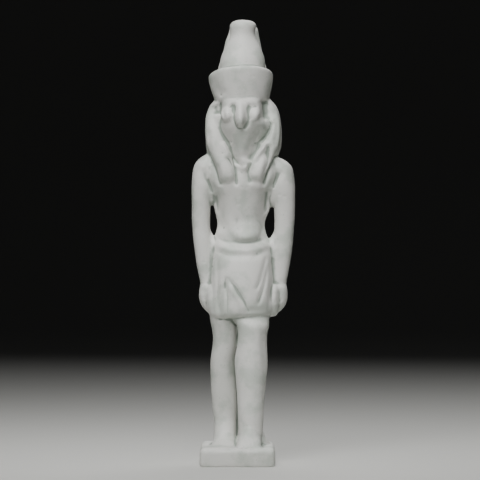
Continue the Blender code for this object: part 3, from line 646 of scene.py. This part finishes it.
# %% Carved lines
CARVING = [
    # the falcon's face: the beak's sides, the eye sockets, the slots behind the eyes, the cheeks
    (0.5, 0.5, [(-2.0, 80.2), (-1.7, 78.2), (-1.55, 76.6), (-1.0, 74.8), (-0.3, 73.8)]),
    (0.5, 0.5, [(1.5, 80.2), (1.5, 78.2), (1.65, 76.4), (1.1, 74.9), (0.2, 73.8)]),
    (0.4, 0.8, [(-2.9, 79.6), (-2.2, 79.0), (-1.9, 77.6)]),
    (0.55, 1.0, [(3.6, 79.4), (2.5, 78.8), (2.3, 77.2), (2.2, 76.0)]),
    (0.7, 0.5, [(-4.95, 80.6), (-4.6, 78.4), (-4.35, 76.8), (-4.4, 75.2)]),
    (0.9, 0.5, [(4.75, 80.6), (4.8, 78.2), (4.9, 75.8)]),
    (0.35, 0.8, [(-4.85, 76.4), (-4.85, 74.2), (-4.4, 72.6), (-3.6, 71.4), (-2.8, 70.4)]),
    (1.3, 1.3, [(5.2, 81.2), (5.8, 79.8), (6.0, 78.2), (5.8, 76.2)]),
    (0.8, 0.45, [
        (5.1, 77.2), (6.2, 76.3), (6.8, 75.2), (6.6, 74.1), (6.1, 73.0), (5.1, 71.7), (4.4, 70.8)]),
    (0.8, 1.1, [(-6.4, 79.8), (-6.0, 78.6), (-5.8, 77.4)]),
    # the throat, whose two planes fall away from the middle
    (0.9, 1.5, [(4.6, 74.8), (3.5, 71.6), (2.3, 68.8), (1.4, 66.4)]),
    (0.3, 1.4, [(-3.4, 74.0), (-2.8, 71.0), (-1.6, 68.4), (-0.4, 66.0)]),
    # the wig: its edges along the throat, the parting of its folds, the ends of its lappets
    (-0.5, 0.55, [(-4.6, 71.2), (-3.6, 69.1), (-1.6, 65.9), (0.3, 64.3)]),
    (-0.65, 0.55, [(5.9, 71.2), (4.2, 68.9), (1.8, 66.0), (0.4, 64.3)]),
    (-0.15, 0.5, [(0.4, 65.0), (0.7, 63.2), (1.1, 60.6)]),
    (0.6, 0.45, [(-3.6, 67.6), (-2.9, 66.4), (-1.95, 64.8), (-1.4, 62.6), (-1.2, 60.6)]),
    (0.45, 0.8, [(5.6, 69.0), (4.0, 66.8), (2.8, 65.2), (1.9, 63.6), (1.7, 61.0)]),
    (0.4, 0.55, [(-6.0, 66.0), (-5.5, 63.9), (-5.3, 62.1), (-4.9, 60.6)]),
    (0.85, 0.7, [(6.1, 70.6), (5.9, 66.8), (5.5, 63.6), (5.1, 60.4)]),
    (0.35, 0.6, [(-7.6, 74.0), (-7.8, 70.5), (-7.5, 66.8)]),
    (0.35, 0.6, [(8.0, 76.8), (8.1, 73.1), (7.8, 69.8)]),
    # the chest: the folds at the armpits, and the soft belly
    (0.55, 0.8, [(-9.2, 65.0), (-8.7, 62.4), (-7.3, 60.7), (-6.2, 59.2), (-5.8, 57.0), (-5.5, 54.0)]),
    (0.65, 0.8, [(9.4, 64.6), (7.9, 62.1), (6.7, 60.7), (5.7, 59.2), (5.4, 57.0), (5.2, 54.0)]),
    (-0.3, 1.4, [(1.6, 60.8), (4.8, 60.8)]),
    (-0.14, 0.8, [
        (-3.0, 53.8), (-2.8, 50.4), (-1.9, 49.1), (0.6, 48.6), (2.9, 49.1), (3.9, 50.4), (4.1, 53.6)]),
    (0.14, 0.7, [(-1.4, 53.8), (-1.3, 51.4), (-0.9, 49.8)]),
    (0.14, 0.7, [(1.3, 53.8), (1.5, 51.6), (1.7, 49.8)]),
    # the kilt: belt, apron, overlapping flap, hanging tab and gathered folds
    (0.26, 0.75, [
        (-7.6, 49.6), (-6.1, 48.8), (-4.7, 48.0), (-3.1, 47.4),
        (0.0, 47.2), (3.0, 47.4), (5.6, 48.4), (7.6, 49.1)]),
    (-0.2, 0.65, [
        (-7.6, 47.8), (-6.1, 47.2), (-4.7, 46.3), (-3.1, 45.8),
        (0.0, 45.7), (3.0, 45.8), (5.6, 46.8), (7.6, 47.4)]),
    (0.32, 0.75, [
        (-7.2, 46.0), (-6.1, 45.5), (-4.7, 44.9), (-3.1, 44.4),
        (0.0, 44.2), (3.0, 44.3), (5.6, 45.4), (7.2, 45.9)]),
    (0.42, 0.5, [(-6.0, 44.6), (-5.8, 39.8), (-5.7, 30.0)]),
    (0.4, 0.55, [(-3.8, 39.4), (-1.7, 36.9), (-0.5, 35.1), (0.5, 33.4), (1.5, 31.0)]),
    (-0.3, 0.5, [(-3.1, 37.6), (-1.9, 35.5), (-0.5, 33.7), (0.7, 31.2)]),
    (0.45, 0.45, [(-3.9, 39.6), (-4.1, 37.2), (-4.8, 34.9), (-5.1, 32.8), (-5.1, 28.6)]),
    (0.4, 0.45, [(-3.9, 38.4), (-3.4, 34.4), (-3.4, 28.6)]),
    (0.4, 0.5, [(5.7, 44.4), (4.9, 41.0), (4.2, 38.4), (3.0, 36.0)]),
    (0.45, 0.5, [(6.2, 42.4), (5.2, 37.9), (4.5, 35.4), (3.5, 32.6)]),
    (0.3, 0.8, [(1.0, 31.4), (3.0, 31.6), (5.8, 31.7)]),
    (0.45, 0.5, [(6.9, 44.0), (6.8, 37.0), (6.0, 30.4)]),
    # the crown: its worn left side
    (0.45, 1.1, [(-7.6, 86.0), (-6.2, 83.8), (-4.6, 81.6)]),
    # the hands: wrists and the folded fingers
    (0.1, 0.6, [(-10.4, 36.1), (-9.0, 36.2), (-7.6, 36.2)]),
    (0.12, 0.6, [(10.6, 37.8), (9.0, 37.8), (7.6, 37.8)]),
    (0.2, 0.5, [(-8.9, 36.4), (-8.7, 34.0), (-7.9, 30.2)]),
    (0.3, 0.5, [(8.6, 36.4), (8.6, 33.5), (8.4, 30.2)]),
]


END_FADE = 6
FRONT_GAIN = 1.6
FRONT_LIMIT = 0.15


def line_strength(path, width, x, z):
    """exp(-(distance / width)^2), times 1 - |2t - 1|^6 along the path, so that its ends fade."""
    nodes = np.array(path)
    start, along = nodes[:-1], np.diff(nodes, axis=0)
    offset = np.stack((x, z), axis=-1)[:, None] - start
    share = np.clip((offset * along).sum(-1) / (along**2).sum(-1), 0, 1)
    apart = np.linalg.norm(offset - share[..., None] * along, axis=-1)
    nearest = apart.argmin(axis=1)
    row = np.arange(len(x))
    travelled = (nearest + share[row, nearest]) / len(along)
    return np.exp(-((apart[row, nearest] / width) ** 2)) * (1 - abs(2 * travelled - 1) ** END_FADE)


def carve(mesh, lines):
    """Moves the skin that faces the front: back for a sunk line, forward for a raised one."""
    places = places_of(mesh)
    facing = np.clip(-FRONT_GAIN * normals_of(mesh)[:, 1] - FRONT_LIMIT, 0, 1)
    front = np.flatnonzero(facing > 0)
    x, _, z = from_metres(places[front]).T
    for depth, width, path in lines:
        places[front, 1] += depth * UNIT * facing[front] * line_strength(path, width, x, z)
    put_places(mesh, places)


carve(skin, CARVING)
print("carved", len(CARVING), "lines")

# %% [markdown]
# Finer touches that only show from close by: the worn ear, the planes of the flanks, the
# furrows between the folded fingers and between the toes. They are made like the carving, and
# rounded by the same passes, because a mould gives no sharp edge at this size.

# %% Fine lines
FINE_LINES = [
    # the hollow of the left ear
    (0.45, 0.6, [(5.5, 80.8), (5.6, 78.7), (5.5, 76.9)]),
    # the flanks fall back from the chest's flat front
    (0.8, 1.6, [(5.6, 60.0), (5.4, 55.5), (5.3, 49.6)]),
    (0.6, 1.6, [(-5.8, 59.0), (-5.6, 55.0), (-5.4, 49.8)]),
    # the shin, flat in front and falling back to the outside
    (0.5, 0.8, [(4.7, 27.0), (5.6, 19.0), (5.5, 11.0), (5.2, 3.5)]),
    # the furrows between the folded fingers
    (0.12, 0.3, [(-10.2, 34.6), (-9.4, 34.3), (-8.4, 34.2)]),
    (0.12, 0.3, [(-10.0, 33.1), (-9.2, 32.8), (-8.2, 32.7)]),
    (0.12, 0.3, [(7.4, 33.6), (8.6, 33.8), (9.8, 34.2)]),
    (0.12, 0.3, [(7.4, 32.2), (8.6, 32.3), (9.6, 32.6)]),
    # the gaps between the toes of the left foot, then of the right
    (0.3, 0.22, [(0.35, 1.6), (0.4, 0.4), (0.4, -0.8)]),
    (0.3, 0.22, [(1.3, 1.8), (1.3, 0.5), (1.3, -0.8)]),
    (0.3, 0.22, [(2.15, 1.7), (2.2, 0.5), (2.2, -0.8)]),
    (0.3, 0.22, [(2.95, 1.4), (3.05, 0.3), (3.1, -0.8)]),
    (0.25, 0.22, [(-5.5, 1.3), (-5.5, 0.2), (-5.5, -0.8)]),
    (0.25, 0.22, [(-4.7, 1.3), (-4.7, 0.2), (-4.7, -0.8)]),
    (0.25, 0.22, [(-3.9, 1.3), (-3.9, 0.2), (-3.9, -0.8)]),
    (0.25, 0.22, [(-3.2, 1.3), (-3.1, 0.2), (-3.1, -0.8)]),
]
carve(skin, FINE_LINES)
put_places(skin, relaxed(places_of(skin), ends, CARVING_PASSES))
print("fine lines:", len(FINE_LINES))

# %% [markdown]
# No moulded surface is perfectly even. Slow waves a few millimetres long stand for the hand that
# pressed and rubbed it, and small shallow pits for grains that fell out and bubbles that burst in
# the glaze. Both could be bump in the material, but as mesh they are part of the shape itself.

# %% Unevenness and pits
LONG_AND_SHORT = (0.7, 1.4)
NO_SEED_NEAR = 9.0
CELL_PRIMES = np.array((73856093, 19349663, 83492791))
DRAW_PACES = (1.1, 2.3, 3.7, 5.9)
DRAW_STRETCH = 43758.5453


def waves(places, length, count, seed):
    """The mean of sine waves that run in all directions, with wavelengths about the given length."""
    random = np.random.default_rng(seed)
    direction = random.normal(size=(count, 3))
    direction /= np.linalg.norm(direction, axis=1, keepdims=True)
    pace = 2 * np.pi / (length * random.uniform(*LONG_AND_SHORT, count))
    phase = random.uniform(0, 2 * np.pi, count)
    return np.sin(places @ (direction * pace[:, None]).T + phase).mean(1)


def near_seeds(places, spacing, share, seed):
    """Distance to the nearest of some points strewn one to a cell of a cubic grid, in spacings.

    A cell's four draws are the fractions of |sin(number of the cell times a pace)| times a large
    stretch: three place its point, and the fourth leaves most cells empty.
    """
    cell = np.floor(places / spacing).astype(int)
    local = places / spacing - cell
    best = np.full(len(places), NO_SEED_NEAR)
    for step in np.ndindex(3, 3, 3):
        offset = np.array(step) - 1
        number = (cell + offset) @ CELL_PRIMES + seed
        draws = [np.modf(np.abs(np.sin(number * pace)) * DRAW_STRETCH)[0] for pace in DRAW_PACES]
        strewn = np.stack(draws, 1)
        apart = np.linalg.norm(offset + strewn[:, :3] - local, axis=1)
        best = np.minimum(best, np.where(strewn[:, 3] < share, apart, NO_SEED_NEAR))
    return best


PIT_SPACING = 1.9 * MM
PIT_RADIUS = 0.32 * MM
PIT_DEPTH = 0.07 * MM
PIT_STEEPNESS = 4
PIT_SHARE = 0.3
PIT_SEED = 7
WAVE_LENGTH = 4.5 * MM
WAVE_HEIGHT = 0.16 * MM
WAVE_COUNT = 24
WAVE_SEED = 3
EVEN_FOOT = 1 * MM
SOLE_EDGE = 0.1 * MM


def weather(mesh):
    """Moves each point along its normal by the waves less the pits; the underside stays flat."""
    places = places_of(mesh)
    apart = near_seeds(places, PIT_SPACING, PIT_SHARE, PIT_SEED) * PIT_SPACING
    pits = np.exp(-((apart / PIT_RADIUS) ** PIT_STEEPNESS))
    lift = WAVE_HEIGHT * waves(places, WAVE_LENGTH, WAVE_COUNT, WAVE_SEED) - PIT_DEPTH * pits
    standing = np.clip(places[:, 2] / EVEN_FOOT, 0, 1)
    places += (lift * standing)[:, None] * normals_of(mesh)
    sole = places[:, 2] < SOLE_EDGE
    places[:, 2] = np.where(sole, np.maximum(places[:, 2], 0), places[:, 2])
    put_places(mesh, places)


weather(skin)
print("pits of", round(PIT_RADIUS / MM, 2), "mm radius")

# %% [markdown]
# The even skin has far more faces than its flat areas need. Decimate thins it where it is flat and
# keeps the faces where it bends, which leaves a mesh that others can work with.

# %% The finished piece
PIECE_TRIANGLES = 190000


def thinned(mesh, triangles):
    """The mesh with fewer faces, by collapsing its shortest and flattest edges first."""
    helper = bpy.data.objects.new("skin", mesh)
    bpy.context.scene.collection.objects.link(helper)
    thin = helper.modifiers.new("thin", "DECIMATE")
    thin.ratio = min(1.0, triangles / (2 * len(mesh.polygons)))
    made = evaluated_mesh(helper)
    bpy.data.objects.remove(helper)
    return made


figurine_mesh = thinned(skin, PIECE_TRIANGLES)
figurine_mesh.name = "faience_figurine"
figurine_mesh.shade_smooth()
figurine = bpy.data.objects.new("faience_figurine", figurine_mesh)
bpy.context.scene.collection.objects.link(figurine)
print("figurine:", len(figurine_mesh.polygons), "triangles")

# %% [markdown]
# Glaze pooled in the hollows and has stayed there, while the high places are rubbed bare. The
# hollows are also painted darker than that glaze, as painted shade. The material has to know
# which is which. Blender's Pointiness node would tell, but only in Cycles, so the script measures
# it: how far a well smoothed copy of the skin stands out from each point.

# %% Hollows and high places
HOLLOW_PASSES = 30
HOLLOW_REACH = 0.12 * MM


def hollowness(mesh, passes, reach):
    """(smoothed place - place) along the normal, over the reach: 1 in a hollow, -1 on a ridge."""
    places = places_of(mesh)
    offset = relaxed(places, edge_ends(mesh), passes) - places
    return np.clip((offset * normals_of(mesh)).sum(1) / reach, -1, 1)


def add_attribute(mesh, name, values):
    """One number to every point, which a material can read by its name."""
    mesh.attributes.new(name, "FLOAT", "POINT").data.foreach_set("value", values.astype(np.float32))


add_attribute(figurine_mesh, "hollow", hollowness(figurine_mesh, HOLLOW_PASSES, HOLLOW_REACH))
print("hollows found")

# %% [markdown]
# Colours come from sRGB hex values, as a colour picker shows them, while shaders work with linear
# light. One function turns them, and another adds any node with its settings and links.

# %% Colour and node helpers
def linear(hex_colour):
    """Each sRGB channel c as c / 12.92 below 0.04045, and ((c + 0.055) / 1.055)^2.4 above."""
    channels = np.array([int(hex_colour[i : i + 2], 16) for i in (1, 3, 5)]) / 255
    lit = np.where(channels <= 0.04045, channels / 12.92, ((channels + 0.055) / 1.055) ** 2.4)
    return (*lit.tolist(), 1.0)


def add_node(tree, kind, settings=None, **links):
    """Adds a node. Settings set its properties or input values; links are its inputs' sources."""
    made = tree.nodes.new(kind)
    for name, value in (settings or {}).items():
        if hasattr(made, name):
            setattr(made, name, value)
        else:
            made.inputs[name].default_value = value
    for name, source in links.items():
        tree.links.new(source, made.inputs[name.replace("_", " ")])
    return made


def new_material(name):
    """The material, its node tree and its shader."""
    material = bpy.data.materials.new(name)
    material.use_nodes = True
    return material, material.node_tree, material.node_tree.nodes["Principled BSDF"]


# %% [markdown]
# Worn faience: a fine sugary quartz body under a thin alkaline glaze that has lost its gloss and
# most of its colour. It looks pale and dry, a shade greener and smoother where glaze is left, and
# dark grey in the hollows, where the pooled glaze also carries painted shade.

# %% Worn faience
BARE_QUARTZ = "#d2d2cd"
LEFT_GLAZE = "#bcc1b9"
POOLED_GLAZE_AND_SHADE = "#8d958c"
# glaze left in the hollows, in a darker grey that also paints their shade
PIT_DIRT = "#85867f"
PATCH_SIZE = 6 * MM
GRAIN_SIZE = 0.45 * MM  # quartz sand is finer, about 0.2 mm; drawn coarser, so that it shows
SPECK_SPACING = 1.3 * MM
GLAZE_FROM, GLAZE_FULL = 0.44, 0.62
POOL_SHADE_FROM, POOL_SHADE_FULL = 0.15, 0.9
DIRT_FROM, DIRT_FULL = 0.66, 0.8
POCK_FROM, POCK_FULL = 0.08, 0.2
BARE_ROUGHNESS = 0.62
LEFT_GLAZE_ROUGHNESS = 0.46
GLASSY_IOR = 1.5
NOISE_ROUGHNESS = 0.6


def mixed(tree, share, low, high):
    """Colour low where the share is 0 and high where it is 1."""
    mix = add_node(tree, "ShaderNodeMix", {"data_type": "RGBA"})
    for socket, colour in ((mix.inputs[6], low), (mix.inputs[7], high)):
        if isinstance(colour, str):
            socket.default_value = linear(colour)
        else:
            tree.links.new(colour, socket)
    tree.links.new(share, mix.inputs[0])
    return mix.outputs[2]


def share_of(tree, value, low, high):
    """0 where the value is under low, 1 where it is over high, smooth between them."""
    ramp = add_node(
        tree,
        "ShaderNodeMapRange",
        {"interpolation_type": "SMOOTHSTEP", "From Min": low, "From Max": high},
        Value=value,
    )
    return ramp.outputs["Result"]


def noise(tree, where, size, detail):
    """Cloudy values about 0.5 whose largest clouds are as wide as the size."""
    settings = {"Scale": 1 / size, "Detail": detail, "Roughness": NOISE_ROUGHNESS}
    return add_node(tree, "ShaderNodeTexNoise", settings, Vector=where).outputs["Fac"]


def worn_faience():
    """Bare quartz, patchy glaze, glaze and painted shade in hollows, dirt, each laid on the last."""
    material, tree, shader = new_material("worn_faience")
    where = add_node(tree, "ShaderNodeTexCoord").outputs["Object"]
    hollow = add_node(tree, "ShaderNodeAttribute", {"attribute_name": "hollow"}).outputs["Fac"]
    patches = share_of(tree, noise(tree, where, PATCH_SIZE, 5.0), GLAZE_FROM, GLAZE_FULL)
    grain = noise(tree, where, GRAIN_SIZE, 3.0)
    specks = add_node(
        tree, "ShaderNodeTexVoronoi", {"Scale": 1 / SPECK_SPACING}, Vector=where
    ).outputs["Distance"]
    colour = mixed(tree, patches, BARE_QUARTZ, LEFT_GLAZE)
    # the hollows: left glaze plus painted shade, darker the more hollow the skin is
    colour = mixed(tree, share_of(tree, hollow, POOL_SHADE_FROM, POOL_SHADE_FULL), colour, POOLED_GLAZE_AND_SHADE)
    colour = mixed(tree, share_of(tree, grain, DIRT_FROM, DIRT_FULL), colour, PIT_DIRT)
    tree.links.new(colour, shader.inputs["Base Color"])
    gloss = {"To Min": BARE_ROUGHNESS, "To Max": LEFT_GLAZE_ROUGHNESS}
    rough = add_node(tree, "ShaderNodeMapRange", gloss, Value=patches).outputs["Result"]
    tree.links.new(rough, shader.inputs["Roughness"])
    grit = add_node(tree, "ShaderNodeBump", {"Strength": 0.25, "Distance": 0.05 * MM}, Height=grain)
    pocks = add_node(
        tree,
        "ShaderNodeBump",
        {"Strength": 0.35, "Distance": 0.06 * MM},
        Height=share_of(tree, specks, POCK_FROM, POCK_FULL),
        Normal=grit.outputs["Normal"],
    )
    tree.links.new(pocks.outputs["Normal"], shader.inputs["Normal"])
    shader.inputs["IOR"].default_value = GLASSY_IOR
    return material


figurine_mesh.materials.append(worn_faience())
print("material:", figurine_mesh.materials[0].name)

# %% [markdown]
# The piece stands on a pale floor. A flat sheet would end in a hard line behind the figure, so the
# floor is turned from a profile that sweeps up far away, the same on every side.

# %% Floor
FLOOR_RADIUS = 1.1
SWEEP_RADIUS = 0.9
SWEEP_HEIGHT = 0.9
FLOOR_COLOUR = "#bcbcb8"
FLOOR_ROUGHNESS = 0.9
INNER_RINGS = (0.001, 0.3)


def swept_floor():
    """Rings of radius r and height h: flat out to the floor's radius, then a quarter circle up."""
    turn = np.linspace(0, np.pi / 2, 32)
    radius = np.concatenate((INNER_RINGS, FLOOR_RADIUS + SWEEP_RADIUS * np.sin(turn)))[:, None]
    height = np.concatenate(([0, 0], SWEEP_HEIGHT * (1 - np.cos(turn))))[:, None]
    angle = np.linspace(0, 2 * np.pi, 96, endpoint=False)[None]
    rings = np.stack((radius * np.cos(angle), radius * np.sin(angle), height + 0 * angle), axis=-1)
    mesh = bpy.data.meshes.new("pale_floor")
    mesh.from_pydata(rings.reshape(-1, 3).tolist(), [], shell_faces(rings, 0)[:-1])
    mesh.shade_smooth()
    floor = bpy.data.objects.new("pale_floor", mesh)
    bpy.context.scene.collection.objects.link(floor)
    return floor


def matt_paint():
    """An even pale grey, rough enough to show no reflection."""
    material, _, shader = new_material("matt_floor_paint")
    shader.inputs["Base Color"].default_value = linear(FLOOR_COLOUR)
    shader.inputs["Roughness"].default_value = FLOOR_ROUGHNESS
    return material


floor = swept_floor()
floor.data.materials.append(matt_paint())
print("floor radius, in m:", FLOOR_RADIUS)

# %% [markdown]
# The photograph has soft light from above and the left, no hard shadow, and a crown that is a
# little brighter than the plinth. So a soft lamp stands nearly overhead at the front left, and a
# weaker one stands lower and close, because near light falls off down the figure. A third lights
# the back pillar for views from behind, and a faint even sky keeps the hollows open.

# %% Light
AIM = Vector((0.0, 0.0, 0.05))
SKY_COLOUR = "#f2f3f5"
SKY_STRENGTH = 0.015


def add_lamp(name, height, side, distance, size, power, spread, shadow=True):
    """A square lamp at a distance from AIM, at angles above the floor and round from -y."""
    up, round_z = np.radians((height, side))
    away = Vector((np.sin(round_z) * np.cos(up), -np.cos(round_z) * np.cos(up), np.sin(up)))
    data = bpy.data.lights.new(name, "AREA")
    data.size = size
    data.energy = power
    data.spread = np.radians(spread)
    data.use_shadow = shadow
    lamp = bpy.data.objects.new(name, data)
    lamp.location = AIM + away * distance
    lamp.rotation_euler = (-away).to_track_quat("-Z", "Y").to_euler()
    bpy.context.scene.collection.objects.link(lamp)


add_lamp("key", height=68, side=-18, distance=0.42, size=0.2, power=0.22, spread=60, shadow=False)
add_lamp("near", height=36, side=-12, distance=0.25, size=0.12, power=0.075, spread=70)
add_lamp("back", height=50, side=170, distance=0.9, size=0.6, power=0.6, spread=60)
sky = bpy.data.worlds.new("pale_sky")
sky.use_nodes = True
background = sky.node_tree.nodes["Background"]
background.inputs["Color"].default_value = linear(SKY_COLOUR)
background.inputs["Strength"].default_value = SKY_STRENGTH
bpy.context.scene.world = sky
print("lamps:", len(bpy.data.lights))

# %% [markdown]
# The camera stands far off with a long lens, level with the middle of the figure, so that uprights
# stay upright: the plinth's top shows as a thin band, and the crown's underside not at all.

# %% Camera
VIEW_ANGLE = np.radians(8.5)
CAMERA_HEIGHT = 50.3 * MM
CAMERA_SIDE = 0.553 * MM
HALF_VIEW = 54.1 * MM

camera_data = bpy.data.cameras.new("camera")
camera_data.angle = VIEW_ANGLE
camera = bpy.data.objects.new("camera", camera_data)
camera.location = (CAMERA_SIDE, -HALF_VIEW / np.tan(VIEW_ANGLE / 2), CAMERA_HEIGHT)
camera.rotation_euler = (np.pi / 2, 0, 0)
bpy.context.scene.collection.objects.link(camera)
bpy.context.scene.camera = camera
print("camera distance, in m:", round(-camera.location.y, 3))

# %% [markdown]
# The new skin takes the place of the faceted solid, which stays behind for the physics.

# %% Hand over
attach(figurine, "root")
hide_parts(NODE)
